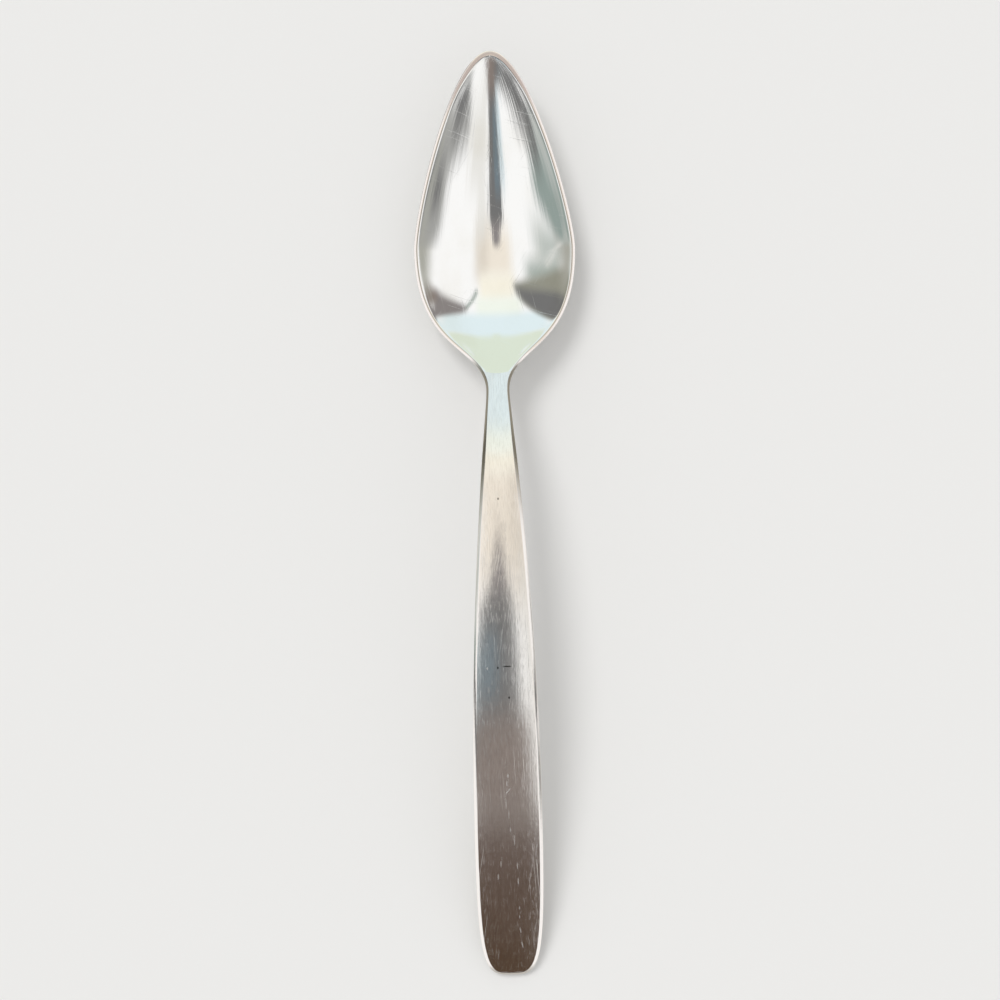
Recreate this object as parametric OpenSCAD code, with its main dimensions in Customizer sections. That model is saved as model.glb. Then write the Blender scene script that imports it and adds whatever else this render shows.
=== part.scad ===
// Grapefruit spoon: a deep pointed bowl with a narrow rounded rim, joined at its heel
// to a narrow neck that widens into a flat, arched handle.
// All lengths are in millimetres. Along the spoon, s is the distance from the bowl's tip.

/* [Overall] */
// Length over all, from the bowl's tip to the handle's end
spoon_l = 155; // [135:1:185]

/* [Bowl outline] */
// Width of the bowl at its widest place
bowl_w = 26.9; // [22:0.1:33]
// Distance of the widest place from the tip
bowl_wide_at = 32.4; // [28:0.1:40]
// Distance from the widest place to the narrowest place of the neck
heel_l = 23.9; // [18:0.1:30]
// Fullness of the nose across the tip, as a share of the half width
nose_full = 0.5; // [0.35:0.01:0.65]
// Fullness of the flanks before the widest place
flank_full = 0.17; // [0.1:0.01:0.4]
// Fullness of the shoulders behind the widest place
shoulder_full = 0.73; // [0.5:0.01:0.85]
// Length of the sweep from the shoulders into the neck
heel_full = 0.33; // [0.2:0.01:0.5]

/* [Bowl hollow] */
// Depth of the hollow below the rim
bowl_depth = 5.6; // [4.5:0.1:8]
// Thickness of the bowl's wall along its middle
bowl_wall = 1.2; // [0.9:0.05:2]
// Roundness of the valley along the front of the hollow
valley_front = 2; // [1:0.1:6]
// Roundness of the hollow's floor in the belly
valley_belly = 9; // [4:0.1:16]
// Share of the depth that the steep wall under the rim takes up, before it eases out at the heel
wall_steep = 0.18; // [0.05:0.01:0.4]
// Fullness of the hollow behind the tip
hollow_tip = 0.77; // [0.5:0.01:1]
// Fullness of the hollow in the front half
hollow_front = 0.83; // [0.6:0.01:1.1]
// Fullness of the hollow in the belly
hollow_belly = 1.56; // [1.3:0.01:1.8]
// Fullness of the hollow before the neck
hollow_heel = 0.77; // [0.5:0.01:1.1]
// Rounding of the back where the bowl leaves the neck
heel_blend = 1.1; // [0.4:0.1:1.6]

/* [Rim] */
// Width of the rim along the sides
rim_w = 0.7; // [0.4:0.05:1.2]
// Width of the rim at the tip
tip_rim_w = 1; // [0.6:0.05:1.6]
// Depth of the rounding across the rim, from its crest to its outer edge
rim_round_h = 0.2; // [0.1:0.05:0.4]
// Height of the rim's upright outer edge
rim_land = 0.3; // [0.2:0.05:0.6]
// Rise of the rim towards the tip
tip_rise = 3; // [1:0.1:5]

/* [Seam between bowl and handle] */
// Place of the seam along the heel's curve, from the widest place to the neck
seam_share = 0.84; // [0.8:0.01:0.92]
// Sag of the seam's arc towards the handle
seam_bow = 0.4; // [0.1:0.05:0.8]

/* [Neck and handle outline] */
// Width of the neck at its narrowest place
neck_w = 3.8; // [3.2:0.1:6]
// Width of the handle at its widest place
handle_w = 11.3; // [9:0.1:16]
// Distance of the handle's widest place from its end
handle_end_l = 22; // [14:0.5:32]
// Length of the straight part of the stem behind the neck
stem_full = 0.05; // [0.02:0.01:0.3]
// Length of the slow taper before the widest place
taper_full = 0.59; // [0.4:0.01:0.8]
// Fullness of the corners at the handle's end
corner_full = 0.98; // [0.5:0.01:0.99]
// Fullness of the handle's end across the middle
end_full = 0.76; // [0.55:0.01:0.95]

/* [Neck and handle section] */
// Thickness of the neck
neck_t = 2.7; // [2.2:0.1:4]
// Thickness at the top of the arch
handle_t = 2.3; // [1.8:0.1:3]
// Thickness at the handle's end
end_t = 1.8; // [1.5:0.1:2.6]
// Height of the neck's upright sides
neck_side = 1.5; // [0.8:0.1:1.8]
// Height of the handle's upright sides
handle_side = 1; // [0.6:0.1:1.2]
// Width of the bevel along the neck's upper edges
neck_bevel_w = 0.4; // [0.3:0.05:1]
// Depth of the bevel along the neck's upper edges
neck_bevel_h = 0.5; // [0.2:0.05:0.8]
// Width of the bevel along the handle's upper edges
bevel_w = 0.6; // [0.3:0.05:1]
// Depth of the bevel along the handle's upper edges
bevel_h = 0.3; // [0.1:0.05:0.4]
// Crown of the handle's upper face
crown_h = 0.28; // [0.1:0.02:0.8]

/* [Side profile] */
// Rise of the steep crank that lifts the neck out of the bowl
crank_h = 7.2; // [4:0.1:10]
// Length of that crank before and behind the neck
crank_run = 17; // [12:1:22]
// Further slow rise towards the top of the arch
arch_rise = 3.6; // [2:0.1:6]
// Length of that slow rise beyond the neck
arch_run = 54; // [44:1:64]
// Distance from the neck to the start of the fall towards the handle's end
fall_after = 20; // [12:1:28]
// Length by which the fall would run on beyond the handle's end
fall_beyond = 60; // [30:1:90]

/* [Hidden] */

// Stretches over which one section passes into the next
TIP_RUN = 10;
NECK_RUN = 9;
BEVEL_RUN = 14;
CROWN_RUN = 25;
STEM_RUN = 40;
SEAM_REACH = 6;
SEAM_FADE = 4;

// Powers of the section curves: the edge band, the wall under the rim, the backs of neck and handle
BAND_POWER = 1.4;
WALL_POWER = 6;
NECK_BACK_POWER = 2.2;
HANDLE_BACK_POWER = 5;

// Share of the bowl's back that its steep wall takes up
BACK_STEEP = 0.3;

// How far past the seam the line of the hollow is carried on, as a share of its length
SINK_REACH = 1.25;

// Powers that thin the wall to its edge at the tip and at the handle's end
TIP_FADE_POWER = 4;
END_FADE_POWER = 8;

// Sections along the tip, the heel, the neck, the taper and the end
TIP_STEPS = 20;
HEEL_STEPS = 20;
NECK_STEPS = 4;
TAPER_STEPS = 20;
END_STEPS = 16;

// Columns across half of a section: on the face, and on its edge band
FACE_COLS = 11;
EDGE_COLS = 3;
HALF_COLS = FACE_COLS + EDGE_COLS;
FACE = [for (i = [0:FACE_COLS]) sin(90 * i / FACE_COLS)];
EDGE = [for (i = [1:EDGE_COLS]) i / EDGE_COLS];

// Places along the spoon that follow from the driving lengths
neck_at = bowl_wide_at + heel_l;
handle_wide_at = spoon_l - handle_end_l;
taper_l = handle_wide_at - neck_at;

// The outline's right half: flank, heel, taper and end, each a cubic curve of points [x, s]
OUTLINE = [
    [
        [0, 0],
        [nose_full * bowl_w / 2, 0],
        [bowl_w / 2, bowl_wide_at * (1 - flank_full)],
        [bowl_w / 2, bowl_wide_at]
    ],
    [
        [bowl_w / 2, bowl_wide_at],
        [bowl_w / 2, bowl_wide_at + shoulder_full * heel_l],
        [neck_w / 2, neck_at - heel_full * heel_l],
        [neck_w / 2, neck_at]
    ],
    [
        [neck_w / 2, neck_at],
        [neck_w / 2, neck_at + stem_full * taper_l],
        [handle_w / 2, handle_wide_at - taper_full * taper_l],
        [handle_w / 2, handle_wide_at]
    ],
    [
        [handle_w / 2, handle_wide_at],
        [handle_w / 2, handle_wide_at + corner_full * handle_end_l],
        [end_full * handle_w / 2, spoon_l],
        [0, spoon_l]
    ]
];

// A station t counts the outline's curves: 0 is the tip, 1 the widest place, 2 the neck, 4 the end
SEAM_T = 1 + seam_share;
TIP_T = [for (i = [0:TIP_STEPS]) i / TIP_STEPS];
HEEL_T = [for (i = [1:HEEL_STEPS]) mix(1, SEAM_T, i / HEEL_STEPS)];
NECK_T = [for (i = [0:NECK_STEPS]) mix(SEAM_T, 2, i / NECK_STEPS)];
TAPER_T = [for (i = [1:TAPER_STEPS]) 2 + i / TAPER_STEPS];
END_T = [for (i = [1:END_STEPS]) 3 + i / END_STEPS];
BOWL_STATIONS = concat(TIP_T, HEEL_T);
HANDLE_STATIONS = concat(NECK_T, TAPER_T, END_T);

// Blends
function smooth(x) = let (c = min(1, max(0, x))) c * c * c * (c * (6 * c - 15) + 10);
function ramp(s, from, to) = smooth((s - from) / (to - from));
function mix(a, b, share) = a + (b - a) * share;

// Point on a cubic curve, and the direction that it runs in
function curve_point(p, f) =
    let (q = 1 - f)
    q * q * q * p[0] + 3 * q * q * f * p[1] + 3 * q * f * f * p[2] + f * f * f * p[3];
function curve_run(p, f) =
    let (q = 1 - f)
    q * q * (p[1] - p[0]) + 2 * q * f * (p[2] - p[1]) + f * f * (p[3] - p[2]);

// Outer edge at a station, and the inner edge of the band along it
function curve_of(t) = min(3, floor(t));
function outer(t) = curve_point(OUTLINE[curve_of(t)], t - curve_of(t));
function inward(t) =
    let (run = curve_run(OUTLINE[curve_of(t)], t - curve_of(t)))
    [-run[1], run[0]] / norm(run);
function inner(t) = outer(t) + band_w(outer(t)[1]) * inward(t);

seam_at = outer(SEAM_T)[1];
hollow_start = inner(0)[1];
hollow_end = inner(SEAM_T)[1];

// A size that passes from bowl to neck, from neck to handle, and on to the handle's end
function along(s, bowl, neck, handle, end) =
    let (to_neck = mix(bowl, neck, ramp(s, bowl_wide_at, neck_at)))
    let (to_handle = mix(to_neck, handle, ramp(s, neck_at, neck_at + STEM_RUN)))
    mix(to_handle, end, ramp(s, neck_at + STEM_RUN, spoon_l));
function thickness(s) = along(s, bowl_wall, neck_t, handle_t, end_t);
function side_h(s) = along(s, rim_land, neck_side, handle_side, handle_side);

// Width and depth of the band along the edge: rim, bevel of the neck, bevel of the handle
function rim_band(s) = mix(tip_rim_w, rim_w, ramp(s, 0, TIP_RUN));
function band_w(s) =
    let (to_neck = mix(rim_band(s), neck_bevel_w, ramp(s, neck_at - NECK_RUN, neck_at)))
    mix(to_neck, bevel_w, ramp(s, neck_at, neck_at + BEVEL_RUN));
function band_h(s) =
    let (to_neck = mix(rim_round_h, neck_bevel_h, ramp(s, neck_at - NECK_RUN, neck_at)))
    mix(to_neck, bevel_h, ramp(s, neck_at, neck_at + BEVEL_RUN));

// Depth of the hollow along its middle, by a curve of four fullness values
HOLLOW_WEIGHTS = [5 * hollow_tip, 10 * hollow_front, 10 * hollow_belly, 5 * hollow_heel];
function hollow_curve(f) =
    let (q = 1 - f)
    let (terms = [q * q * q * q * f, q * q * q * f * f, q * q * f * f * f, q * f * f * f * f])
    HOLLOW_WEIGHTS * terms;
PEAK_STEPS = 200;
HOLLOW_PEAK = max([for (i = [0:PEAK_STEPS]) hollow_curve(i / PEAK_STEPS)]);
function sink(t) =
    let (f = (inner(t)[1] - hollow_start) / (hollow_end - hollow_start))
    bowl_depth * hollow_curve(min(SINK_REACH, max(0, f))) / HOLLOW_PEAK;
function depth(t) = t >= SEAM_T ? 0 : sink(t);

// The back follows the hollow, and runs out in a round sweep under the neck
function back_depth(t) =
    let (blend = heel_blend * ramp(outer(t)[1], bowl_wide_at, seam_at))
    (sink(t) + norm([sink(t), 2 * blend])) / 2;

// Cross curves: 1 in the middle of the section, 0 at its edge
function valley(s) = mix(valley_front, valley_belly, ramp(s, 0, bowl_wide_at));
function wall_share(s) = wall_steep * (1 - ramp(s, bowl_wide_at, seam_at));
function vee(x, half_w, r) = (norm([x, r]) - r) / (norm([half_w, r]) - r);
function trough(u, half_w, r, steep) =
    half_w <= 0 ? 1 : 1 - (1 - steep) * vee(u * half_w, half_w, r) - steep * pow(u, WALL_POWER);
function back_power(s) = mix(NECK_BACK_POWER, HANDLE_BACK_POWER, ramp(s, neck_at, neck_at + CROWN_RUN));
function back_curve(u, half_w, s) =
    let (bowl_back = trough(u, half_w, valley(s) + bowl_wall, BACK_STEEP))
    let (stem_back = 1 - pow(u, back_power(s)))
    mix(bowl_back, stem_back, ramp(s, bowl_wide_at, neck_at));

// The wall thins out to the edge's height at the tip and at the handle's end
function tip_fade(s) = 1 - pow(max(0, 1 - s / TIP_RUN), TIP_FADE_POWER);
function end_fade(s) = 1 - pow(max(0, (s - handle_wide_at) / handle_end_l), END_FADE_POWER);
function crown(s) = crown_h * ramp(s, neck_at, neck_at + CROWN_RUN) * end_fade(s);

// Depth of the back below the edge line, at distance x from the middle of station t
function below(t, x, s) =
    let (half_w = outer(t)[0])
    let (u = half_w > 0 ? min(1, x / half_w) : 0)
    let (edge_h = band_h(s) + side_h(s))
    let (swell = (thickness(s) - edge_h) * tip_fade(outer(t)[1]) * end_fade(outer(t)[1]))
    edge_h + (swell + back_depth(t)) * back_curve(u, half_w, s);

// Sections near the seam bow towards the handle
function bow(t) =
    let (s = outer(t)[1])
    seam_bow * ramp(s, seam_at - SEAM_REACH, seam_at) * (1 - ramp(s, seam_at, seam_at + SEAM_FADE));
function middle_s(t) = inner(t)[1] + bow(t);

// Height of the edge line: the belly and the handle's end both touch the table at z = 0
function lift(s) =
    tip_rise * pow(max(0, 1 - s / neck_at), 2)
    + crank_h * ramp(s, neck_at - crank_run, neck_at + crank_run)
    + arch_rise * ramp(s, bowl_wide_at, neck_at + arch_run);
function fall(s) = ramp(s, neck_at + fall_after, spoon_l + fall_beyond);
rim_z = max([for (t = BOWL_STATIONS) below(t, 0, middle_s(t)) - lift(middle_s(t))]);
fall_h = min([
    for (t = END_T)
        let (s = middle_s(t))
        (rim_z + lift(s) - below(t, 0, s)) / fall(s)
]);
function edge_z(s) = rim_z + lift(s) - fall_h * fall(s);

// Half a section, from its middle outwards, as columns [x, s, top, bottom]
TOP = 2;
BOTTOM = 3;
function face_column(t, u) =
    let (half_w = inner(t)[0])
    let (x = u * half_w)
    let (s = inner(t)[1] + bow(t) * (1 - u * u))
    let (hollow_z = depth(t) * trough(u, half_w, valley(s), wall_share(s)))
    let (top = edge_z(s) + crown(s) * (1 - u * u) - hollow_z)
    [x, s, top, edge_z(s) - below(t, x, s)];
function edge_column(t, f) =
    let (p = mix(inner(t), outer(t), f))
    let (top = edge_z(p[1]) - band_h(p[1]) * pow(f, BAND_POWER))
    [p[0], p[1], top, edge_z(p[1]) - below(t, p[0], p[1])];
function half_section(t) =
    concat([for (u = FACE) face_column(t, u)], [for (f = EDGE) edge_column(t, f)]);

// Whole section: the upper points from left to right, then the lower points
function section(t) =
    let (half = half_section(t))
    [
        for (level = [TOP, BOTTOM], j = [-HALF_COLS:HALF_COLS])
            let (c = half[abs(j)])
            [sign(j) * c[0], spoon_l / 2 - c[1], c[level]]
    ];

// Skin through a row of sections. A section of no width closes the skin there,
// and the sections at the seam are covered by strips from top to bottom.
ROW = 2 * HALF_COLS + 1;
function is_point(t) = t == 0 || t == 4;
function column_of(t, j) = is_point(t) ? HALF_COLS - max(FACE_COLS, abs(j - HALF_COLS)) : j;
function quad(a, b, c, d) = [[a, b, c], [a, c, d]];
function no_sliver(f) = f[0] != f[1] && f[1] != f[2] && f[2] != f[0];

module skin(stations) {
    last = len(stations) - 1;
    function top(i, j) = i * 2 * ROW + column_of(stations[i], j);
    function low(i, j) = top(i, j) + ROW;
    upper = [
        for (i = [0:last - 1], j = [0:ROW - 2])
            each quad(top(i, j), top(i, j + 1), top(i + 1, j + 1), top(i + 1, j))
    ];
    lower = [
        for (i = [0:last - 1], j = [0:ROW - 2])
            each quad(low(i, j), low(i + 1, j), low(i + 1, j + 1), low(i, j + 1))
    ];
    sides = [
        for (i = [0:last - 1])
            each concat(
                quad(top(i, 0), top(i + 1, 0), low(i + 1, 0), low(i, 0)),
                quad(top(i + 1, ROW - 1), top(i, ROW - 1), low(i, ROW - 1), low(i + 1, ROW - 1))
            )
    ];
    front = is_point(stations[0]) ? [] : [
        for (j = [0:ROW - 2])
            each [
                [top(0, j), low(0, j + 1), top(0, j + 1)],
                [top(0, j), low(0, j), low(0, j + 1)]
            ]
    ];
    rear = is_point(stations[last]) ? [] : [
        for (j = [0:ROW - 2])
            each [
                [top(last, j), top(last, j + 1), low(last, j + 1)],
                [top(last, j), low(last, j + 1), low(last, j)]
            ]
    ];
    polyhedron(
        points = [for (t = stations) each section(t)],
        faces = [for (f = concat(upper, lower, sides, front, rear)) if (no_sliver(f)) f],
        convexity = 6
    );
}

// Polished bowl
module bowl() {
    color([0.86, 0.87, 0.87])
        skin(BOWL_STATIONS);
}

// Satin neck and handle
module handle() {
    color([0.72, 0.71, 0.69])
        skin(HANDLE_STATIONS);
}

bowl();
handle();
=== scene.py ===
"""Looks of the grapefruit spoon: a mirror-polished bowl and a worn satin handle.

The spoon's form is worked out in millimetres from the sizes below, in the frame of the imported
solids: +Y runs from the handle's end to the bowl's tip, and s is the distance from that tip.
"""

import math

import bmesh
import bpy
import numpy as np
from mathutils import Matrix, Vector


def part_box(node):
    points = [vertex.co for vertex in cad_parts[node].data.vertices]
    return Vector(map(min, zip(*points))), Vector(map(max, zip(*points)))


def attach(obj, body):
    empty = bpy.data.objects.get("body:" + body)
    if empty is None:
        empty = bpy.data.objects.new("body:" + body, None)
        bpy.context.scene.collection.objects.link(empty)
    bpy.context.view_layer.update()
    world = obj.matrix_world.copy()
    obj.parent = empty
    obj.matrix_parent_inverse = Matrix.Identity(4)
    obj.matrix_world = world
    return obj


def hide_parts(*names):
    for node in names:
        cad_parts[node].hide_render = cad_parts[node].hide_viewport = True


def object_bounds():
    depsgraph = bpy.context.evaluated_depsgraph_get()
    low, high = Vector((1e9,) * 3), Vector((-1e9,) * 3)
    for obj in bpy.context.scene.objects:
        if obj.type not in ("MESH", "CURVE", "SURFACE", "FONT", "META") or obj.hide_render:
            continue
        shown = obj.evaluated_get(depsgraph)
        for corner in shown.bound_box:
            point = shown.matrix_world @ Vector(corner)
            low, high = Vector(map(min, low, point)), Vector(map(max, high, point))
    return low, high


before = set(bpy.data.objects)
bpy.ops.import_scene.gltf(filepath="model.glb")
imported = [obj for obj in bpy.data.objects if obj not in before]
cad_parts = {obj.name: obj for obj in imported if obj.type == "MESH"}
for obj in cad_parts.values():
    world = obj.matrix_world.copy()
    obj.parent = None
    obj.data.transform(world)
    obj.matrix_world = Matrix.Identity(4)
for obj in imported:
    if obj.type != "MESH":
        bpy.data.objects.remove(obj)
cad_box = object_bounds()

MM = 0.001

# Camera above the table: place and lens in millimetres, turn in degrees, nearest view in metres
CAMERA_AT = (-0.09, 3.29, 260.0)
CAMERA_LENS = 54.774
SENSOR_W = 36.0
CAMERA_TURN = -1.4
CAMERA_CLIP = 0.01

# Studio: floor in metres, colours and light levels, the key light's spread and tilt in degrees
FLOOR_SIZE = 40.0
FLOOR_COLOUR = (0.82, 0.815, 0.80, 1.0)
FLOOR_ROUGH = 0.7
WHITE = (1.0, 1.0, 1.0, 1.0)
SOFT_LIGHT = (0.72, 0.72, 0.72, 1.0)
KEY_STRENGTH = 1.2
KEY_SPREAD = 24.0
KEY_TILT = (-28.0, -24.0)


def node_width(node):
    """Width of a solid across the spoon, in millimetres."""
    low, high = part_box(node)
    return (high.x - low.x) / MM


# Sizes taken from the solids, in millimetres
SPOON_L = (cad_box[1][1] - cad_box[0][1]) / MM
BOWL_W = node_width("bowl")
HANDLE_W = node_width("handle")

# Outline of the bowl, neck and handle
BOWL_WIDE_AT = 32.4
HEEL_L = 23.9
NOSE_FULL = 0.5
FLANK_FULL = 0.17
SHOULDER_FULL = 0.73
HEEL_FULL = 0.33
NECK_W = 3.8
HANDLE_END_L = 22.0
STEM_FULL = 0.05
TAPER_FULL = 0.59
CORNER_FULL = 0.98
END_FULL = 0.76

# Hollow of the bowl
BOWL_DEPTH = 5.6
BOWL_WALL = 1.2
VALLEY_FRONT = 2.0
VALLEY_BELLY = 9.0
WALL_STEEP = 0.18
BACK_STEEP = 0.30
WALL_POWER = 6
HOLLOW_FULL = {"tip": 0.77, "front": 0.83, "belly": 1.56, "heel": 0.77}
HEEL_BLEND = 1.1
SINK_REACH = 1.25

# Rim, seam and edges
RIM_W = 0.7
TIP_RIM_W = 1.0
RIM_ROUND_H = 0.2
RIM_LAND = 0.3
RIM_FILLET_R = 0.8
SEAM_SHARE = 0.84
SEAM_BOW = 0.4
EDGE_ROUND = 0.1
SIDE_ROUND = 0.25

# Sections of the neck and the handle
NECK_T = 2.7
HANDLE_T = 2.3
END_T = 1.8
NECK_SIDE = 1.5
HANDLE_SIDE = 1.0
NECK_BEVEL_W = 0.4
NECK_BEVEL_H = 0.5
BEVEL_W = 0.6
BEVEL_H = 0.3
BAND_POWER = 1.4
CROWN_H = 0.28
NECK_BACK_POWER = 2.2
HANDLE_BACK_POWER = 5.0
TIP_FADE_POWER = 4
END_FADE_POWER = 8

# Side profile
TIP_RISE = 3.0
CRANK_H = 7.2
CRANK_RUN = 17.0
ARCH_RISE = 3.6
ARCH_RUN = 54.0
FALL_AFTER = 20.0
FALL_BEYOND = 60.0

# Stretches over which one section passes into the next
TIP_RUN = 10.0
NECK_RUN = 9.0
BEVEL_RUN = 14.0
CROWN_RUN = 25.0
STEM_RUN = 40.0
SEAM_REACH = 6.0
SEAM_FADE = 4.0

# Places along the spoon
NECK_AT = BOWL_WIDE_AT + HEEL_L
HANDLE_WIDE_AT = SPOON_L - HANDLE_END_L
TAPER_L = HANDLE_WIDE_AT - NECK_AT

# The outline's right half: flank, heel, taper and end, each a cubic curve of points (x, s)
OUTLINE = np.array(
    [
        [
            (0, 0),
            (NOSE_FULL * BOWL_W / 2, 0),
            (BOWL_W / 2, BOWL_WIDE_AT * (1 - FLANK_FULL)),
            (BOWL_W / 2, BOWL_WIDE_AT),
        ],
        [
            (BOWL_W / 2, BOWL_WIDE_AT),
            (BOWL_W / 2, BOWL_WIDE_AT + SHOULDER_FULL * HEEL_L),
            (NECK_W / 2, NECK_AT - HEEL_FULL * HEEL_L),
            (NECK_W / 2, NECK_AT),
        ],
        [
            (NECK_W / 2, NECK_AT),
            (NECK_W / 2, NECK_AT + STEM_FULL * TAPER_L),
            (HANDLE_W / 2, HANDLE_WIDE_AT - TAPER_FULL * TAPER_L),
            (HANDLE_W / 2, HANDLE_WIDE_AT),
        ],
        [
            (HANDLE_W / 2, HANDLE_WIDE_AT),
            (HANDLE_W / 2, HANDLE_WIDE_AT + CORNER_FULL * HANDLE_END_L),
            (END_FULL * HANDLE_W / 2, SPOON_L),
            (0, SPOON_L),
        ],
    ]
)

# A station t counts the outline's curves. These are the stations where one curve ends
TIP, BOWL_WIDEST, NECK, HANDLE_WIDEST, HANDLE_END = range(len(OUTLINE) + 1)
LAST_CURVE = len(OUTLINE) - 1
SEAM_T = BOWL_WIDEST + SEAM_SHARE

# Places tried to find the deepest place of the hollow and where the spoon touches the table
PEAK_TRIES = 201
BELLY_TRIES = 600
END_TRIES = 200

# Small numbers that keep divisions safe on the middle line, at the tip and straight above the spoon
TINY = 1e-6
NEAR_TIP = 1e-3
NEAR_ZENITH = 1e-4


def smooth(x):
    c = np.clip(x, 0, 1)
    return c * c * c * (c * (6 * c - 15) + 10)


def ramp(s, start, end):
    return smooth((s - start) / (end - start))


def mix(a, b, share):
    return a + (b - a) * share


def outer(t):
    """Points (x, s) of the outer edge at stations t."""
    i = np.minimum(LAST_CURVE, np.floor(t)).astype(int)
    f = (t - i)[:, None]
    q = 1 - f
    p = OUTLINE[i]
    return q**3 * p[:, 0] + 3 * q * q * f * p[:, 1] + 3 * q * f * f * p[:, 2] + f**3 * p[:, 3]


def inward(t):
    """Directions from the outer edge into the spoon at stations t."""
    i = np.minimum(LAST_CURVE, np.floor(t)).astype(int)
    f = (t - i)[:, None]
    q = 1 - f
    leg = np.diff(OUTLINE[i], axis=1)
    run = q * q * leg[:, 0] + 2 * q * f * leg[:, 1] + f * f * leg[:, 2]
    side = np.stack([-run[:, 1], run[:, 0]], axis=1)
    return side / np.linalg.norm(side, axis=1, keepdims=True)


def band_w(s):
    """Width of the rim, of the neck's bevel and of the handle's bevel."""
    rim = mix(TIP_RIM_W, RIM_W, ramp(s, 0, TIP_RUN))
    to_neck = mix(rim, NECK_BEVEL_W, ramp(s, NECK_AT - NECK_RUN, NECK_AT))
    return mix(to_neck, BEVEL_W, ramp(s, NECK_AT, NECK_AT + BEVEL_RUN))


def band_h(s):
    """Depth of that band at the outer edge."""
    to_neck = mix(RIM_ROUND_H, NECK_BEVEL_H, ramp(s, NECK_AT - NECK_RUN, NECK_AT))
    return mix(to_neck, BEVEL_H, ramp(s, NECK_AT, NECK_AT + BEVEL_RUN))


def inner(t):
    """Points (x, s) of the inner edge of the band at stations t."""
    edge = outer(t)
    return edge + band_w(edge[:, 1])[:, None] * inward(t)


def along(s, bowl, neck, handle, end):
    """A size that passes from the bowl to the neck, the handle and the handle's end."""
    to_neck = mix(bowl, neck, ramp(s, BOWL_WIDE_AT, NECK_AT))
    to_handle = mix(to_neck, handle, ramp(s, NECK_AT, NECK_AT + STEM_RUN))
    return mix(to_handle, end, ramp(s, NECK_AT + STEM_RUN, SPOON_L))


def thickness(s):
    return along(s, BOWL_WALL, NECK_T, HANDLE_T, END_T)


def side_h(s):
    return along(s, RIM_LAND, NECK_SIDE, HANDLE_SIDE, HANDLE_SIDE)


def hollow_curve(f):
    """Depth of the hollow along its middle, before scaling."""
    q = 1 - f
    full = HOLLOW_FULL
    front = 5 * full["tip"] * q**4 * f + 10 * full["front"] * q**3 * f**2
    rear = 10 * full["belly"] * q**2 * f**3 + 5 * full["heel"] * q * f**4
    return front + rear


HOLLOW_START = inner(np.array([0.0]))[0, 1]
HOLLOW_END = inner(np.array([SEAM_T]))[0, 1]
SEAM_AT = outer(np.array([SEAM_T]))[0, 1]
HOLLOW_PEAK = hollow_curve(np.linspace(0, 1, PEAK_TRIES)).max()


def sink(t):
    f = (inner(t)[:, 1] - HOLLOW_START) / (HOLLOW_END - HOLLOW_START)
    return BOWL_DEPTH * hollow_curve(np.clip(f, 0, SINK_REACH)) / HOLLOW_PEAK


def depth(t):
    return np.where(t >= SEAM_T, 0.0, sink(t))


def back_depth(t):
    """The back follows the hollow, and runs out in a round sweep under the neck."""
    blend = HEEL_BLEND * ramp(outer(t)[:, 1], BOWL_WIDE_AT, SEAM_AT)
    return (sink(t) + np.hypot(sink(t), 2 * blend)) / 2


def valley(s):
    return mix(VALLEY_FRONT, VALLEY_BELLY, ramp(s, 0, BOWL_WIDE_AT))


def wall_share(s):
    """Share of the depth in the steep wall under the rim, which eases out at the heel."""
    return WALL_STEEP * (1 - ramp(s, BOWL_WIDE_AT, SEAM_AT))


def trough(u, half_w, r, steep):
    """Cross curve of a hollow: 1 in the middle of the section, 0 at its edge."""
    w = np.maximum(half_w, TINY)
    vee = (np.hypot(u * w, r) - r) / (np.hypot(w, r) - r)
    return 1 - (1 - steep) * vee - steep * u**WALL_POWER


def trough_fall(half_w, r, steep):
    """How fast that curve falls at its edge, per unit of u."""
    w = np.maximum(half_w, TINY)
    vee = w * w / np.hypot(w, r) / (np.hypot(w, r) - r)
    return (1 - steep) * vee + steep * WALL_POWER


def back_curve(u, half_w, s):
    power = mix(NECK_BACK_POWER, HANDLE_BACK_POWER, ramp(s, NECK_AT, NECK_AT + CROWN_RUN))
    bowl_back = trough(u, half_w, valley(s) + BOWL_WALL, BACK_STEEP)
    return mix(bowl_back, 1 - u**power, ramp(s, BOWL_WIDE_AT, NECK_AT))


def tip_fade(s):
    return 1 - np.maximum(0, 1 - s / TIP_RUN) ** TIP_FADE_POWER


def end_fade(s):
    return 1 - np.maximum(0, (s - HANDLE_WIDE_AT) / HANDLE_END_L) ** END_FADE_POWER


def crown(s):
    return CROWN_H * ramp(s, NECK_AT, NECK_AT + CROWN_RUN) * end_fade(s)


def bow(t):
    """Sections near the seam bow towards the handle."""
    s = outer(t)[:, 1]
    rise = ramp(s, SEAM_AT - SEAM_REACH, SEAM_AT)
    return SEAM_BOW * rise * (1 - ramp(s, SEAM_AT, SEAM_AT + SEAM_FADE))


def below(t, x, s):
    """Depth of the back below the edge line, for rows t and columns of points (x, s)."""
    edge = outer(t)
    half_w = edge[:, :1]
    u = np.clip(x / np.maximum(half_w, TINY), 0, 1)
    edge_h = band_h(s) + side_h(s)
    fade = (tip_fade(edge[:, 1]) * end_fade(edge[:, 1]))[:, None]
    swell = (thickness(s) - edge_h) * fade
    return edge_h + (swell + back_depth(t)[:, None]) * back_curve(u, half_w, s)


def lift(s):
    tip = TIP_RISE * np.maximum(0, 1 - s / NECK_AT) ** 2
    crank = CRANK_H * ramp(s, NECK_AT - CRANK_RUN, NECK_AT + CRANK_RUN)
    return tip + crank + ARCH_RISE * ramp(s, BOWL_WIDE_AT, NECK_AT + ARCH_RUN)


def fall(s):
    return ramp(s, NECK_AT + FALL_AFTER, SPOON_L + FALL_BEYOND)


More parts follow.
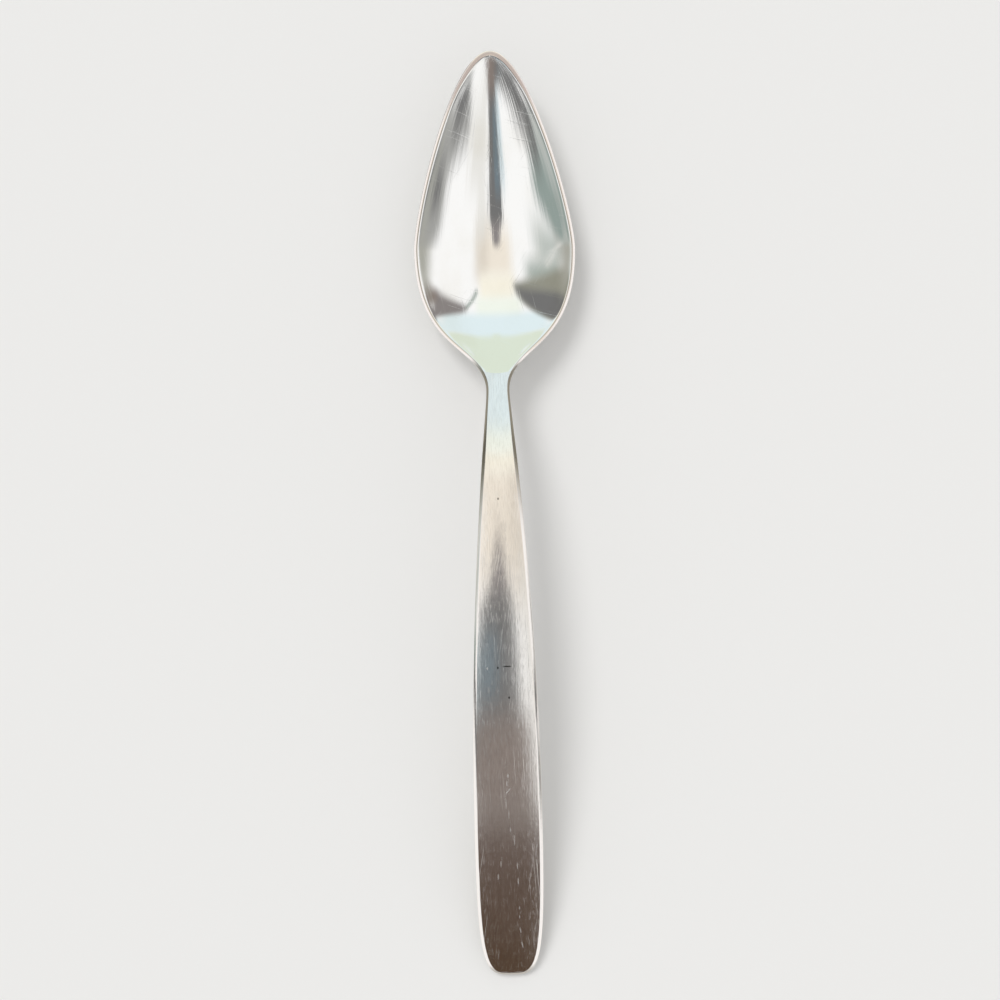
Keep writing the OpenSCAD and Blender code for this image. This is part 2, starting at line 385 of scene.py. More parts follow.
def middle_below(t):
    """Places s along the middle and the depth of the back there."""
    s = (inner(t)[:, 1] + bow(t))[:, None]
    return s[:, 0], below(t, np.zeros_like(s), s)[:, 0]


def resting_heights():
    """Heights at which the belly and the handle's end both touch the table."""
    s, down = middle_below(np.linspace(TIP, SEAM_T, BELLY_TRIES))
    rim = np.max(down - lift(s))
    s, down = middle_below(np.linspace(HANDLE_WIDEST, HANDLE_END, END_TRIES)[1:])
    return rim, np.min((rim + lift(s) - down) / fall(s))


RIM_Z, FALL_H = resting_heights()


def edge_z(s):
    return RIM_Z + lift(s) - FALL_H * fall(s)


def round_off(h, slope):
    """Rounds the crease between the rim and the hollow's wall: h is the depth into the hollow."""
    size = RIM_FILLET_R * slope**2 / (4 * (1 + slope**2 / 4) ** 1.5)
    return (h + np.hypot(h, 2 * size)) / 2


def wall_slope(t):
    """Slope of the hollow's wall at the rim, square to the rim."""
    t = np.clip(t, NEAR_TIP, SEAM_T)
    edge = inner(t)
    fall_off = trough_fall(edge[:, 0], valley(edge[:, 1]), wall_share(edge[:, 1]))
    return sink(t) * fall_off / edge[:, 0] / np.maximum(-inward(t)[:, 0], NEAR_TIP)


def as_points(x, s, z):
    return np.stack(np.broadcast_arrays(x, SPOON_L / 2 - s, z), axis=-1)


def face_points(t, u):
    """Upper and lower points between the spoon's middle and the inner edge of its band."""
    edge = inner(t)
    x = u[None, :] * edge[:, :1]
    s = edge[:, 1:] + bow(t)[:, None] * (1 - u**2)[None, :]
    h = depth(t)[:, None] * trough(u[None, :], edge[:, :1], valley(s), wall_share(s))
    slope = np.where(t < SEAM_T, wall_slope(t), 0.0)[:, None]
    top = edge_z(s) + crown(s) * (1 - u**2)[None, :] - round_off(h, slope)
    return as_points(x, s, top), as_points(x, s, edge_z(s) - below(t, x, s))


def band_drop(f, s):
    """Fall of the band from its inner to its outer edge."""
    return band_h(s) * f**BAND_POWER


def band_points(t, f):
    """Upper and lower points of the band, f from 0 at its inner to 1 at its outer edge."""
    start, end = inner(t), outer(t)
    p = start[:, None, :] + (end - start)[:, None, :] * f[None, :, None]
    x, s = p[..., 0], p[..., 1]
    slope = np.where(t < SEAM_T, wall_slope(t), 0.0)[:, None]
    out = band_w(end[:, 1])[:, None] * f[None, :]
    top = edge_z(s) - band_drop(f[None, :], s) - round_off(-slope * out, slope)
    return as_points(x, s, top), as_points(x, s, edge_z(s) - below(t, x, s))


def corner_points(before, corner, after, steps):
    """A rounded corner, without its two ends."""
    tau = np.linspace(0, 1, steps + 2)[1:-1][None, :, None]
    first = (1 - tau) ** 2 * before[:, None, :] + 2 * tau * (1 - tau) * corner[:, None, :]
    return first + tau**2 * after[:, None, :]


# Marks along the edges, in millimetres: the rim's painted dark line (a painted dark reflection), the worn
# rim with its painted pinkish reflection tint, the dull tip, and the dull sides with painted dark (a
# painted dark reflection on the neck's sides, painted shade at the handle's end)
# The rim's painted dark line, a dark reflection painted into its colour: where it sits on the band and how
# wide it is
RIM_PAINTED_LINE_AT = 0.18
RIM_PAINTED_LINE_W = 0.09
RIM_WORN_AND_TINT_W = 0.12
TIP_DULL_TO = (4.0, 13.0)
TIP_DULL_IN = (0.12, 0.34)
TIP_EDGE_FROM = (0.62, 0.95)
# Where the sides get painted dark: a painted dark reflection on the neck's sides and painted shade on the
# handle's end
SIDE_PAINTED_DARK_IN = 0.12
NECK_PAINTED_DARK_FROM = (NECK_AT - 6.0, NECK_AT - 2.0)
NECK_PAINTED_DARK_TO = (NECK_AT + 8.0, NECK_AT + 26.0)
END_PAINTED_SHADE_FROM = (SPOON_L - 2.2, SPOON_L - 0.6)
END_PAINTED_SHADE = 0.5

# Columns across half a section, and rows along each stretch between stations
FACE_COLS = 64
BAND_COLS = 12
CORNER_COLS = 5
BOWL_ROWS = (140, 150)
HANDLE_ROWS = (26, 150, 114)
EDGE_WEAR_REACH = 0.12
MERGE_DIST = 1e-8
SIDE_COLS = 2 * CORNER_COLS + 2
FACE_U = np.sin(np.linspace(0, math.pi / 2, FACE_COLS + 1))
BAND_F = np.linspace(0, 1, BAND_COLS + 1)[1:] * (1 - EDGE_ROUND)


def half_rings(t):
    """Half of each section as a row of points, from the upper middle round to the lower middle."""
    face_top, face_low = face_points(t, FACE_U)
    band_top, band_low = band_points(t, BAND_F)
    rim_top, rim_low = (p[:, 0] for p in band_points(t, np.array([1.0])))
    inset = np.stack([np.zeros_like(t), np.zeros_like(t), SIDE_ROUND * side_h(outer(t)[:, 1])], axis=1)
    upper = corner_points(band_top[:, -1], rim_top, rim_top - inset, CORNER_COLS)
    lower = corner_points(rim_low + inset, rim_low, band_low[:, -1], CORNER_COLS)
    side = np.stack([rim_top - inset, rim_low + inset], axis=1)
    back = np.concatenate([face_low, band_low], axis=1)[:, ::-1]
    return np.concatenate([face_top, band_top, upper, side, lower, back], axis=1)


def to_band(t):
    """Distance of each point of the half sections from the inner edge of its band, minus inside it."""
    face = (FACE_U - 1)[None, :] * inner(t)[:, :1]
    width = band_w(outer(t)[:, 1])[:, None]
    band = width * BAND_F[None, :]
    side = width * np.ones((1, SIDE_COLS))
    back = np.concatenate([face, band], axis=1)[:, ::-1]
    return np.concatenate([face, band, side, back], axis=1)


def edge_wear(t):
    """How close each point is to an outer edge: 1 on the band and the sides, 0 far from them."""
    return np.exp(np.minimum(0, to_band(t)) / EDGE_WEAR_REACH)


def rim_painted_dark_line(t):
    """The painted dark line along the rim, a dark reflection painted into the rim's colour: 1 on the line,
    0 away from it, at the tip and on the handle.
    """
    s = outer(t)[:, 1]
    there = ramp(s, *TIP_DULL_TO) * (1 - ramp(s, NECK_AT - NECK_RUN, NECK_AT))
    return there[:, None] * np.exp(-(((to_band(t) - RIM_PAINTED_LINE_AT) / RIM_PAINTED_LINE_W) ** 2))


def rim_worn_and_painted_tint(t):
    """The rim's worn, rougher outer part, whose colour is a painted pinkish reflection tint: 1 outside the
    painted dark line, 0 inside it.
    """
    return ramp(to_band(t), RIM_PAINTED_LINE_AT, RIM_PAINTED_LINE_AT + RIM_WORN_AND_TINT_W)


def tip_dull(t):
    """The dull rim round the tip: 1 on the rim there, 0 in the hollow and along the flanks."""
    s = outer(t)[:, 1]
    there = 1 - ramp(s, *TIP_DULL_TO)
    out = to_band(t)
    inside_edge = 1 - ramp(out / band_w(s)[:, None], *TIP_EDGE_FROM)
    return there[:, None] * ramp(out, *TIP_DULL_IN) * inside_edge


def across(t):
    """Share of the way from the spoon's middle to its edge, minus on the left half."""
    edge = np.ones(BAND_COLS)
    half = np.concatenate([FACE_U, edge, np.ones(SIDE_COLS), edge, FACE_U[::-1]])
    return np.tile(half, (len(t), 1))


def upper_side(t):
    """1 on the spoon's upper side, 0 on its sides and its back."""
    upper = FACE_COLS + 1 + BAND_COLS
    half = np.concatenate([np.ones(upper), np.zeros(SIDE_COLS + upper)])
    return np.tile(half, (len(t), 1))


def dull_and_painted_dark_sides(t):
    """Dull bevels and sides of the neck and, less so, of the handle's end, which get more roughness and
    painted dark: a painted dark reflection on the neck's sides and painted shade on the handle's end. 0 on
    the face and elsewhere.
    """
    s = outer(t)[:, 1]
    neck = ramp(s, *NECK_PAINTED_DARK_FROM) * (1 - ramp(s, *NECK_PAINTED_DARK_TO))
    there = neck + END_PAINTED_SHADE * ramp(s, *END_PAINTED_SHADE_FROM)
    return there[:, None] * ramp(to_band(t), 0, SIDE_PAINTED_DARK_IN)


# Marks that the materials read from each mesh, and their sign on its left half
MESH_MARKS = [
    (edge_wear, 1.0),
    (rim_painted_dark_line, 1.0),
    (rim_worn_and_painted_tint, 1.0),
    (tip_dull, 1.0),
    (dull_and_painted_dark_sides, 1.0),
    (across, -1.0),
    (upper_side, 1.0),
]


def whole_rings(half, flip):
    """Adds the mirrored half to each half section. flip holds the signs of the mirrored values."""
    return np.concatenate([half, half[:, -2:0:-1] * flip], axis=1)


def loft(name, t):
    """A closed, smooth mesh through the sections at stations t."""
    half = half_rings(t)
    rings = whole_rings(half, np.array([-1.0, 1.0, 1.0])) * MM
    rows, cols = rings.shape[:2]
    index = np.arange(rows * cols).reshape(rows, cols)
    ahead = np.roll(index, -1, axis=1)
    quads = np.stack([index[:-1], index[1:], ahead[1:], ahead[:-1]], axis=-1).reshape(-1, 4)
    mesh = bpy.data.meshes.new(name)
    mesh.from_pydata(rings.reshape(-1, 3).tolist(), [], quads.tolist())
    for mark, flip in MESH_MARKS:
        values = mesh.attributes.new(mark.__name__, "FLOAT", "POINT")
        values.data.foreach_set("value", whole_rings(mark(t), flip).ravel())
    seam_row = index[0] if t[0] == SEAM_T else index[-1]
    close_ends(mesh, seam_row, half.shape[1])
    piece = bpy.data.objects.new(name, mesh)
    bpy.context.scene.collection.objects.link(piece)
    return piece


def close_ends(mesh, seam_row, half_count):
    """Covers the section at the seam with strips, and merges the points of the section without width."""
    bm = bmesh.new()
    bm.from_mesh(mesh)
    bm.verts.ensure_lookup_table()
    ring = [bm.verts[i] for i in seam_row]
    for first, second in zip(ring, ring[1:] + ring[:1]):
        bm.edges.get((first, second)).smooth = False
    right = ring[:half_count]
    left = [ring[0]] + ring[:half_count - 2:-1]
    for row in (right, left):
        for k in range(half_count // 2 - 1):
            bm.faces.new((row[k], row[k + 1], row[-k - 2], row[-k - 1]))
    bmesh.ops.remove_doubles(bm, verts=bm.verts, dist=MERGE_DIST)
    bmesh.ops.recalc_face_normals(bm, faces=bm.faces)
    bm.to_mesh(mesh)
    bm.free()


def stations(stops, rows):
    """Stations from stop to stop, with a number of rows for each stretch between two stops."""
    runs = [np.linspace(a, b, n + 1)[:-1] for a, b, n in zip(stops, stops[1:], rows)]
    return np.concatenate(runs + [[stops[-1]]])


class Graph:
    """Short calls for building a node tree."""

    def __init__(self, tree):
        self.tree = tree
        tree.nodes.clear()

    def node(self, kind, **settings):
        made = self.tree.nodes.new(kind)
        for name, value in settings.items():
            setattr(made, name, value)
        return made

    def plug(self, socket, value):
        """Links an output to a socket, or sets the socket's own value."""
        if isinstance(value, bpy.types.NodeSocket):
            self.tree.links.new(value, socket)
        else:
            socket.default_value = value

    def math(self, operation, *values):
        made = self.node("ShaderNodeMath", operation=operation)
        for socket, value in zip(made.inputs, values):
            self.plug(socket, value)
        return made.outputs[0]

    def step(self, value, start, end, low=0.0, high=1.0):
        """A smooth step from low at start to high at end."""
        made = self.node("ShaderNodeMapRange", interpolation_type="SMOOTHSTEP")
        names = ("Value", "From Min", "From Max", "To Min", "To Max")
        for name, number in zip(names, (value, start, end, low, high)):
            self.plug(made.inputs[name], number)
        return made.outputs["Result"]

    def blend(self, first, second, share):
        """A colour between two colours."""
        made = self.node("ShaderNodeMix", data_type="RGBA")
        for socket, value in zip((made.inputs[0], made.inputs[6], made.inputs[7]), (share, first, second)):
            self.plug(socket, value)
        return made.outputs[2]

    def most(self, values):
        """The largest of some values."""
        found = values[0]
        for value in values[1:]:
            found = self.math("MAXIMUM", found, value)
        return found

    def noise(self, place, detail):
        made = self.node("ShaderNodeTexNoise")
        self.plug(made.inputs["Vector"], place)
        made.inputs["Scale"].default_value = 1.0
        made.inputs["Detail"].default_value = detail
        return made.outputs[0]

    def place(self, size, turn=0.0, at=(0.0, 0.0, 0.0)):
        """Object coordinates in units of size, seen from a turned frame. size and at in millimetres."""
        here = self.node("ShaderNodeTexCoord").outputs["Object"]
        made = self.node("ShaderNodeMapping", vector_type="TEXTURE")
        self.plug(made.inputs["Vector"], here)
        made.inputs["Location"].default_value = [MM * c for c in at]
        made.inputs["Rotation"].default_value = (0.0, 0.0, math.radians(turn))
        made.inputs["Scale"].default_value = [MM * c for c in size]
        return made.outputs["Vector"]

    def spots(self, cell, detail, start, full):
        """Spots of noise: 0 where it is below start, 1 where it is above full."""
        return self.step(self.noise(self.place(cell), detail), start, full)

    def scratches(self, width, length, bare, turns):
        """Fine straight scratches at some turns to the spoon's length. bare is the share without any."""
        found = []
        for turn in turns:
            lines = self.noise(self.place((width, length, FLAT), turn), SCRATCH_DETAIL)
            found.append(self.step(lines, bare, bare + SCRATCH_EDGE))
        return self.most(found)

    def rougher(self, rough, *layers):
        """Roughness with what each mark adds to it."""
        for mark, added in layers:
            rough = self.math("MULTIPLY_ADD", mark, added, rough)
        return rough

    def bump(self, height, distance, normal=None):
        """A bump as high as distance, in millimetres, on the surface or on another bump."""
        made = self.node("ShaderNodeBump")
        self.plug(made.inputs["Height"], height)
        made.inputs["Distance"].default_value = MM * distance
        if normal is not None:
            self.plug(made.inputs["Normal"], normal)
        return made.outputs["Normal"]

    def attribute(self, name):
        return self.node("ShaderNodeAttribute", attribute_name=name).outputs["Fac"]


def colour(red, green, blue):
    return (red, green, blue, 1.0)


# A cell so high that its pattern doesn't change through the metal, in millimetres
FLAT = 1000.0

# Spots: a cell's width, length and height in millimetres, its detail, and the noise from which a spot
# starts and at which it is full
POLISHED_CLOUDS = ((9.0, 13.0, 9.0), 4.0, 0.45, 0.75)
SATIN_CLOUDS = ((6.0, 16.0, 6.0), 4.0, 0.40, 0.75)
MOTTLES = ((1.1, 2.6, FLAT), 5.0, 0.42, 0.70)
FINE_MOTTLES = ((0.2, 1.6, FLAT), 2.0, 0.45, 0.70)

# Even textures: the cell and its detail
BRUSHED = (0.45, 20.0, FLAT)
BRUSHED_DETAIL = 3.0
GRAIN = (0.5, 1.1, FLAT)
GRAIN_DETAIL = 4.0

# Scratches: width and length in millimetres, share left bare, and turns in degrees
HAIRLINES = (0.25, 11.0, 0.66, (12.0, -33.0, 71.0))
LONG_SCRATCHES = (0.3, 16.0, 0.67, (3.0, -9.0))
DASHES = (0.26, 2.4, 0.63, (1.0, -2.0))
SCRATCH_DETAIL = 1.0
SCRATCH_EDGE = 0.06

# The bowl's polishing streaks: cells from middle to edge and per metre of length, and the distances from
# the tip over which they fade out, in millimetres
STREAKS_ACROSS = 21.0
STREAKS_PER_METRE = 70.0
STREAK_DETAIL = 4.0
STREAKS_FADE = (22.0, 38.0)

# Colours of the two finishes and of the marks on them
POLISHED = {
    "bright": colour(0.95, 0.945, 0.93),
    "tarnished": colour(0.87, 0.85, 0.80),
    # Worn rim: a painted pinkish reflection tint on the rougher rim
    "worn": colour(0.96, 0.905, 0.875),
    # Painted dark reflection: the colour of the dark line painted along the rim
    "painted_dark_rim_line": colour(0.50, 0.48, 0.45),
    "dull": colour(0.60, 0.525, 0.515),
}
SATIN = {
    "bright": colour(0.94, 0.92, 0.895),
    "tarnished": colour(0.86, 0.83, 0.79),
    "mottled": colour(0.78, 0.755, 0.725),
    "worn": colour(0.93, 0.89, 0.855),
    "nicked": colour(0.20, 0.195, 0.18),
}
# Painted dark for the sides: a painted dark reflection on the neck's sides and painted shade on the
# handle's end
PAINTED_SIDE_DARK = colour(0.33, 0.30, 0.24)

# Strength of the tarnish and the mottling
POLISHED_TARNISH = 0.6
MOTTLE_SHARE = 0.3
FINE_MOTTLE_SHARE = 0.45

# Roughness of the plates, and what each mark adds to it
POLISHED_ROUGH = 0.05
SATIN_ROUGH = 0.07
CLOUD_ROUGH = 0.03
HAIRLINE_ROUGH = 0.05
RIM_ROUGH = 0.08
TIP_ROUGH = 0.15
BRUSHED_ROUGH = 0.08
GRAIN_ROUGH = 0.08
DASH_ROUGH = 0.08
EDGE_POLISH = -0.06
BURR_ROUGH = 0.28
SIDE_ROUGH = 0.2

# Heights of the bumps, in millimetres
STREAK_H = 0.018
HAIRLINE_H = 0.0015
BRUSHED_H = 0.006
DASH_H = -0.0012
SCRATCH_H = -0.003

# Shares of a single mark's half size where it starts and where it is full
MARK_EDGE = (1.0, 0.4)

# Single marks of use on the handle: x and y of the middle, length and width in millimetres, turn in degrees
BURRS = [
    (-2.8, -23.7, 0.5, 0.25, 0),
    (0.1, -41.5, 0.9, 0.35, 0),
    (-0.1, -42.8, 1.3, 0.20, 0),
    (0.1, -44.1, 1.9, 0.22, -38),
    (-0.3, -46.3, 2.6, 0.14, 0),
    (0.1, -48.2, 2.2, 0.14, 0),
    (0.3, -50.8, 1.2, 0.24, 0),
    (0.9, -52.6, 2.6, 0.18, 3),
    (1.3, -57.2, 1.6, 0.18, 2),
    (1.4, -60.0, 1.6, 0.22, 2),
    (1.5, -64.9, 0.8, 0.22, 0),
    (1.5, -66.5, 0.8, 0.20, 0),
    (1.6, -69.0, 1.4, 0.22, 8),
    (1.9, -71.8, 1.5, 0.20, 12),
    (-1.9, -59.2, 1.4, 0.22, 0),
    (-1.4, -56.9, 1.6, 0.14, 0),
]
NICKS = [
    (0.4, -23.4, 1.8, 0.32, 88),
    (-1.1, -23.6, 0.55, 0.40, 0),
    (0.6, -28.5, 0.5, 0.40, 0),
    (-0.4, 3.5, 0.5, 0.35, 0),
]


def single_marks(g, marks):
    """Single marks of use on the upper side: 1 on a mark, 0 beside it."""
    found = 0.0
    for x, y, length, width, turn in marks:
        spot = g.place((width / 2, length / 2, FLAT), turn, (x, y, 0.0))
        far = g.node("ShaderNodeVectorMath", operation="LENGTH")
        g.plug(far.inputs[0], spot)
        found = g.math("MAXIMUM", g.step(far.outputs["Value"], *MARK_EDGE), found)
    return g.math("MULTIPLY", found, g.attribute("upper_side"))


def metal(name):
    """A new metal material: its graph and its shader."""
    material = bpy.data.materials.new(name)
    material.use_nodes = True
    graph = Graph(material.node_tree)
    shader = graph.node("ShaderNodeBsdfPrincipled")
    shader.inputs["Metallic"].default_value = 1.0
    end = graph.node("ShaderNodeOutputMaterial")
    graph.plug(end.inputs["Surface"], shader.outputs[0])
    return material, graph, shader


def roughen_and_paint_dark_sides(g, plate, rough):
    """Colour and roughness of the dull sides: rougher, with a painted dark reflection on the neck's sides
    and painted shade on the handle's end.
    """
    # dull carries the painted dark on the sides as well as their extra roughness
    dull = g.attribute("dull_and_painted_dark_sides")
    return g.blend(plate, PAINTED_SIDE_DARK, dull), g.rougher(rough, (dull, SIDE_ROUGH))


def bowl_streaks(g):
    """Faint polishing streaks that meet at the bowl's tip and fade out over its belly."""
    along = g.node("ShaderNodeSeparateXYZ")
    g.plug(along.inputs[0], g.node("ShaderNodeTexCoord").outputs["Object"])
    spot = g.node("ShaderNodeCombineXYZ")
    g.plug(spot.inputs["X"], g.math("MULTIPLY", g.attribute("across"), STREAKS_ACROSS))
    g.plug(spot.inputs["Y"], g.math("MULTIPLY", along.outputs["Y"], STREAKS_PER_METRE))
    full, gone = ((SPOON_L / 2 - s) * MM for s in STREAKS_FADE)
    fade = g.step(along.outputs["Y"], gone, full)
    return g.math("MULTIPLY", g.noise(spot.outputs[0], STREAK_DETAIL), fade)


def polished_silver():
    """Mirror-polished plate: streaks, hairlines, faint clouds of tarnish, a worn rim with a painted pinkish
    reflection tint, a painted dark reflection line along the rim, a dull tip, and dull sides by the neck
    with a painted dark reflection.
    """
    material, g, shader = metal("polished_silver")
    cloud = g.spots(*POLISHED_CLOUDS)
    wear = g.attribute("rim_worn_and_painted_tint")
    tip = g.attribute("tip_dull")
    scratched = g.scratches(*HAIRLINES)
    tarnish = g.math("MULTIPLY", cloud, POLISHED_TARNISH)
    plate = g.blend(POLISHED["bright"], POLISHED["tarnished"], tarnish)
    # The worn rim gets a painted pinkish reflection tint as well as more roughness
    plate = g.blend(plate, POLISHED["worn"], wear)
    # Paints a dark reflection line along the rim
    plate = g.blend(plate, POLISHED["painted_dark_rim_line"], g.attribute("rim_painted_dark_line"))
    plate = g.blend(plate, POLISHED["dull"], tip)
    marks = [(cloud, CLOUD_ROUGH), (scratched, HAIRLINE_ROUGH), (wear, RIM_ROUGH), (tip, TIP_ROUGH)]
    # Paints a dark reflection on the sides by the neck, and makes them rougher
    plate, rough = roughen_and_paint_dark_sides(g, plate, g.rougher(POLISHED_ROUGH, *marks))
    g.plug(shader.inputs["Base Color"], plate)
    g.plug(shader.inputs["Roughness"], rough)
    polish = g.bump(bowl_streaks(g), STREAK_H)
    g.plug(shader.inputs["Normal"], g.bump(scratched, HAIRLINE_H, polish))
    return material


def satin_silver():
    """Worn satin plate: brushed along its length, with grain, dashes, single marks and polished edges."""
    material, g, shader = metal("satin_silver")
    brushed = g.noise(g.place(BRUSHED), BRUSHED_DETAIL)
    grain = g.noise(g.place(GRAIN), GRAIN_DETAIL)
    cloud = g.spots(*SATIN_CLOUDS)
    mottle = g.math("MULTIPLY", g.spots(*MOTTLES), MOTTLE_SHARE)
    fine = g.math("MULTIPLY", g.spots(*FINE_MOTTLES), FINE_MOTTLE_SHARE)
    wear = g.attribute("edge_wear")
    dashed = g.scratches(*DASHES)
    scratched = g.scratches(*LONG_SCRATCHES)
    burrs = single_marks(g, BURRS)
    plate = g.blend(SATIN["bright"], SATIN["tarnished"], cloud)
    plate = g.blend(plate, SATIN["mottled"], mottle)
    plate = g.blend(plate, SATIN["mottled"], fine)
    plate = g.blend(plate, SATIN["worn"], wear)
    plate = g.blend(plate, SATIN["nicked"], single_marks(g, NICKS))
    texture = [(brushed, BRUSHED_ROUGH), (grain, GRAIN_ROUGH), (dashed, DASH_ROUGH)]
    rough = g.rougher(SATIN_ROUGH, *texture, (wear, EDGE_POLISH), (burrs, BURR_ROUGH))
    # Paints a dark reflection on the neck's sides and shade on the handle's end, and makes them rougher
    plate, rough = roughen_and_paint_dark_sides(g, plate, rough)
    g.plug(shader.inputs["Base Color"], plate)
    g.plug(shader.inputs["Roughness"], rough)
    satin = g.bump(g.math("ADD", brushed, grain), BRUSHED_H)
    satin = g.bump(dashed, DASH_H, satin)
    g.plug(shader.inputs["Normal"], g.bump(g.most([scratched, burrs]), SCRATCH_H, satin))
    return material


def pale_floor():
    """A plain pale floor."""
    bpy.ops.mesh.primitive_plane_add(size=FLOOR_SIZE)
    floor = bpy.context.object
    floor.name = "floor"
    material = bpy.data.materials.new("pale_floor")
    material.use_nodes = True
    shader = material.node_tree.nodes["Principled BSDF"]
    shader.inputs["Base Color"].default_value = FLOOR_COLOUR
    shader.inputs["Roughness"].default_value = FLOOR_ROUGH
    floor.data.materials.append(material)


def dome_angles(g):
    """Place of a direction on the dome: degrees from the zenith, split into x and y."""
    place = g.node("ShaderNodeTexCoord").outputs["Generated"]
    parts = g.node("ShaderNodeSeparateXYZ")
    g.plug(parts.inputs[0], place)
    x, y, z = parts.outputs
    flat = g.math("SQRT", g.math("MULTIPLY_ADD", x, x, g.math("MULTIPLY", y, y)))
    flat = g.math("MAXIMUM", flat, NEAR_ZENITH)
    degrees = g.math("DEGREES", g.math("ARCTAN2", flat, z))
    scale = g.math("DIVIDE", degrees, flat)
    return g.math("MULTIPLY", x, scale), g.math("MULTIPLY", y, scale)


def hang_card(g, backdrop, spot, card):
    """Hangs a soft-edged card in the dome, in front of what hangs there already."""
    turn = math.radians(card["turn"])
    soft = card["soft"]
    right = g.math("SUBTRACT", spot[0], card["at"][0])
    up = g.math("SUBTRACT", spot[1], card["at"][1])
    along = g.math("MULTIPLY_ADD", right, math.cos(turn), g.math("MULTIPLY", up, math.sin(turn)))
    aside = g.math("MULTIPLY_ADD", up, math.cos(turn), g.math("MULTIPLY", right, -math.sin(turn)))
    half_w = g.math("MULTIPLY_ADD", along, card["flare"], card["half"][1])
    past_end = g.math("SUBTRACT", g.math("ABSOLUTE", along), card["half"][0])
    past_side = g.math("SUBTRACT", g.math("ABSOLUTE", aside), half_w)
    ends = g.step(past_end, soft, -soft, high=card["cover"])
    cover = g.math("MULTIPLY", ends, g.step(past_side, soft, -soft))
    return g.blend(backdrop, card["colour"], cover)


def card(at, half, shade, soft, turn=0.0, flare=0.0, cover=1.0):
    """A card in the dome: middle and half size in degrees, colour, soft edge, turn, flare and cover."""
    return {
        "at": at,
        "half": half,
        "colour": SHADES[shade],
        "soft": soft,
        "turn": turn,
        "flare": flare,
        "cover": cover,
    }


# Colours of the cards
SHADES = {
    "ivory": colour(0.98, 0.94, 0.82),
    "cream": colour(0.90, 0.83, 0.73),
    "sand": colour(0.72, 0.66, 0.58),
    "mint": colour(0.93, 0.98, 0.90),
    "leaf": colour(0.74, 0.82, 0.70),
    "sky": colour(0.78, 0.90, 0.94),
    "dusk": colour(0.62, 0.73, 0.78),
    "pearl": colour(0.83, 0.82, 0.79),
    "silver": colour(0.54, 0.56, 0.54),
    "sage": colour(0.43, 0.48, 0.45),
    "stone": colour(0.42, 0.42, 0.38),
    "lead": colour(0.37, 0.37, 0.36),
    "moss": colour(0.30, 0.36, 0.34),
    "olive": colour(0.31, 0.31, 0.26),
    "slate": colour(0.18, 0.24, 0.28),
    "graphite": colour(0.27, 0.25, 0.25),
    "umber": colour(0.25, 0.21, 0.19),
    "charcoal": colour(0.18, 0.18, 0.18),
    "bark": colour(0.125, 0.09, 0.075),
    "peat": colour(0.085, 0.052, 0.032),
}

# Cards in the studio dome, hung one after the other, grouped by where the metal mirrors them
CARDS = [
    # Floor of the bowl and its heel
    card((0, 11), (22, 11), "cream", soft=8),
    card((17, 9), (8, 13), "sand", soft=7, cover=0.7),
    card((19, -14), (6, 18), "pearl", soft=5, cover=0.8),
    card((-2, 26), (22, 7), "ivory", soft=5),
    card((-3, 40), (27, 9), "mint", soft=5),
    card((1, 57), (53, 13), "sky", soft=6),
    card((-33, 86), (38, 19), "leaf", soft=3.5, flare=0.10),
    card((33, 86), (38, 19), "leaf", soft=3.5, flare=-0.10),
    # Right wall of the bowl
    card((-62, 6), (16, 9), "sage", soft=8, cover=0.8),
    card((-52, 19), (16, 6), "sage", soft=6),
    card((-55, 36), (35, 18.5), "olive", soft=4, turn=160, flare=0.53),
    card((-46, 37), (25, 8.5), "charcoal", soft=4, turn=153, flare=0.33),
    card((-97, 25), (27, 45), "stone", soft=10),
    card((-92, -10), (22, 12), "silver", soft=8),
    card((-68, 6), (18, 1.6), "pearl", soft=2.5, turn=32, cover=0.6),
    # Left wall of the bowl
    card((29, 33.5), (9, 1.5), "sage", soft=1.5, turn=48),
    card((48, 40), (14, 8), "graphite", soft=4, flare=0.35),
    card((68, 30), (10, 5), "umber", soft=4, turn=-25),
    card((98, 15), (29, 60), "stone", soft=9),
    card((29, -18), (10, 7), "pearl", soft=7),
    card((71, -7), (9, 9), "lead", soft=7),
    card((58, -19.5), (17, 4.5), "lead", soft=4, turn=15),
    card((53, -24), (9, 4), "charcoal", soft=4, turn=20),
    card((74, -11), (5, 3), "charcoal", soft=4),
    card((58, -36), (12, 6), "lead", soft=5),
    # Right wall near the tip
    card((-69, -9.5), (14, 7.5), "moss", soft=5, turn=-30),
    card((-57.5, -21.5), (11.5, 4.5), "charcoal", soft=4, turn=-30, flare=0.1),
    card((-42, -29), (12, 5.5), "charcoal", soft=3.5, turn=-22),
    card((-24, -34), (12, 5.5), "charcoal", soft=3),
    # Middle of the bowl, and the handle
    card((-17, -20), (5, 9), "dusk", soft=5),
    card((-3, -0.5), (7.5, 7), "graphite", soft=2.5, turn=90, flare=-0.36),
    card((-4, -19), (17.5, 11.5), "charcoal", soft=3, turn=90, flare=-0.02),
    card((-8.5, -17), (4.5, 7.5), "slate", soft=4, cover=0.8),
    card((-2, -36), (14, 8.5), "umber", soft=4),
    card((-2, -63), (19, 20), "bark", soft=4),
    card((-2, -72), (19, 20), "peat", soft=4),
]


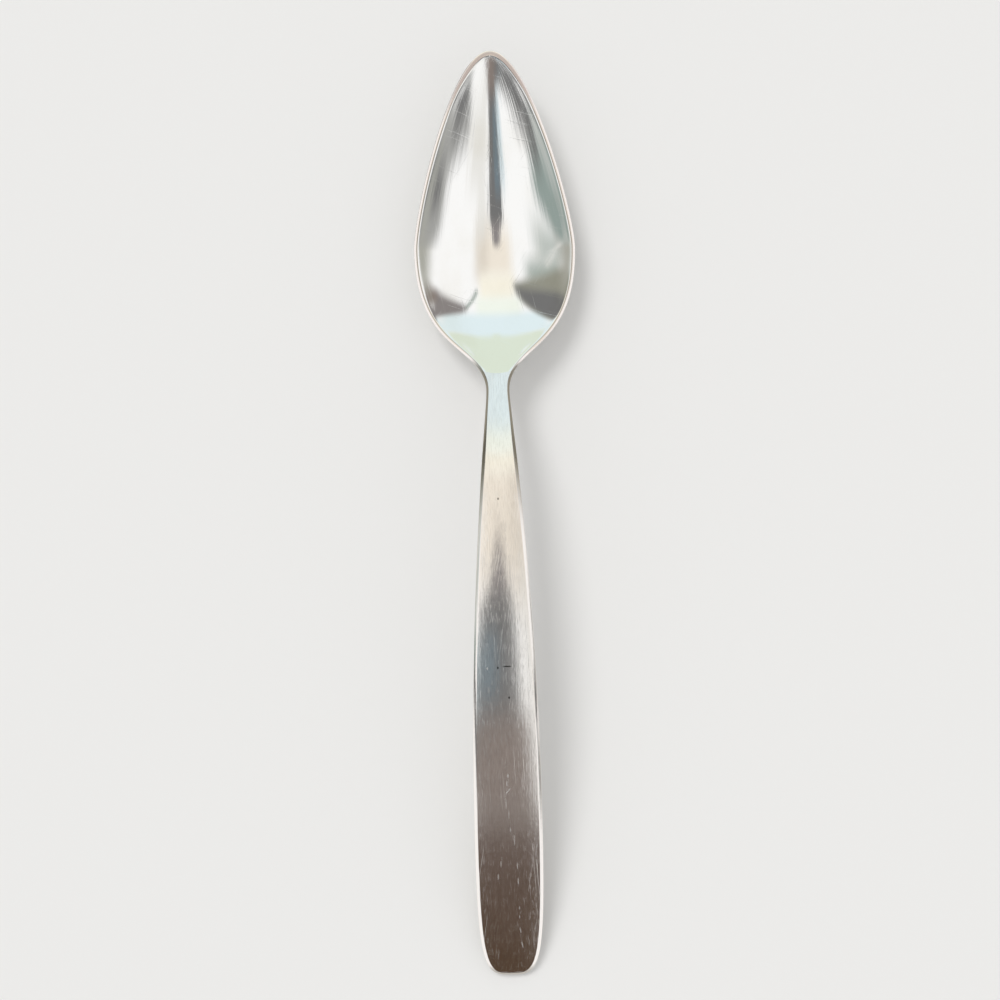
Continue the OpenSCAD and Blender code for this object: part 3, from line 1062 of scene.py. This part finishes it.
def studio_dome():
    """White background for the camera, plain soft light, and a white dome with cards for the metal."""
    world = bpy.data.worlds.new("studio_dome")
    world.use_nodes = True
    bpy.context.scene.world = world
    g = Graph(world.node_tree)
    spot = dome_angles(g)
    backdrop = WHITE
    for hung in CARDS:
        backdrop = hang_card(g, backdrop, spot, hung)
    path = g.node("ShaderNodeLightPath").outputs
    mirrored = g.math("MAXIMUM", path["Is Glossy Ray"], path["Is Transmission Ray"])
    soft_light = g.blend(SOFT_LIGHT, backdrop, mirrored)
    background = g.node("ShaderNodeBackground")
    g.plug(background.inputs["Color"], g.blend(soft_light, WHITE, path["Is Camera Ray"]))
    end = g.node("ShaderNodeOutputWorld")
    g.plug(end.inputs["Surface"], background.outputs[0])


def key_light():
    """A soft light from the upper left, which the metal doesn't mirror."""
    data = bpy.data.lights.new("key", "SUN")
    data.energy = KEY_STRENGTH
    data.angle = math.radians(KEY_SPREAD)
    lamp = bpy.data.objects.new("key", data)
    lamp.rotation_euler = (math.radians(KEY_TILT[0]), math.radians(KEY_TILT[1]), 0.0)
    lamp.visible_glossy = False
    bpy.context.scene.collection.objects.link(lamp)


def camera_above():
    """Straight above the spoon, with the spoon's tip leaning a little to the left."""
    data = bpy.data.cameras.new("camera")
    data.lens = CAMERA_LENS
    data.sensor_width = SENSOR_W
    data.clip_start = CAMERA_CLIP
    camera = bpy.data.objects.new("camera", data)
    camera.location = [MM * c for c in CAMERA_AT]
    camera.rotation_euler = (0.0, 0.0, math.radians(CAMERA_TURN))
    bpy.context.scene.collection.objects.link(camera)
    bpy.context.scene.camera = camera


bowl = loft("polished_bowl", stations((TIP, BOWL_WIDEST, SEAM_T), BOWL_ROWS))
handle = loft("satin_handle", stations((SEAM_T, NECK, HANDLE_WIDEST, HANDLE_END), HANDLE_ROWS))
bowl.data.materials.append(polished_silver())
handle.data.materials.append(satin_silver())
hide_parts("bowl")
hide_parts("handle")
for piece in (bowl, handle):
    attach(piece, "root")

pale_floor()
studio_dome()
key_light()
camera_above()
bpy.context.scene.view_settings.view_transform = "Standard"
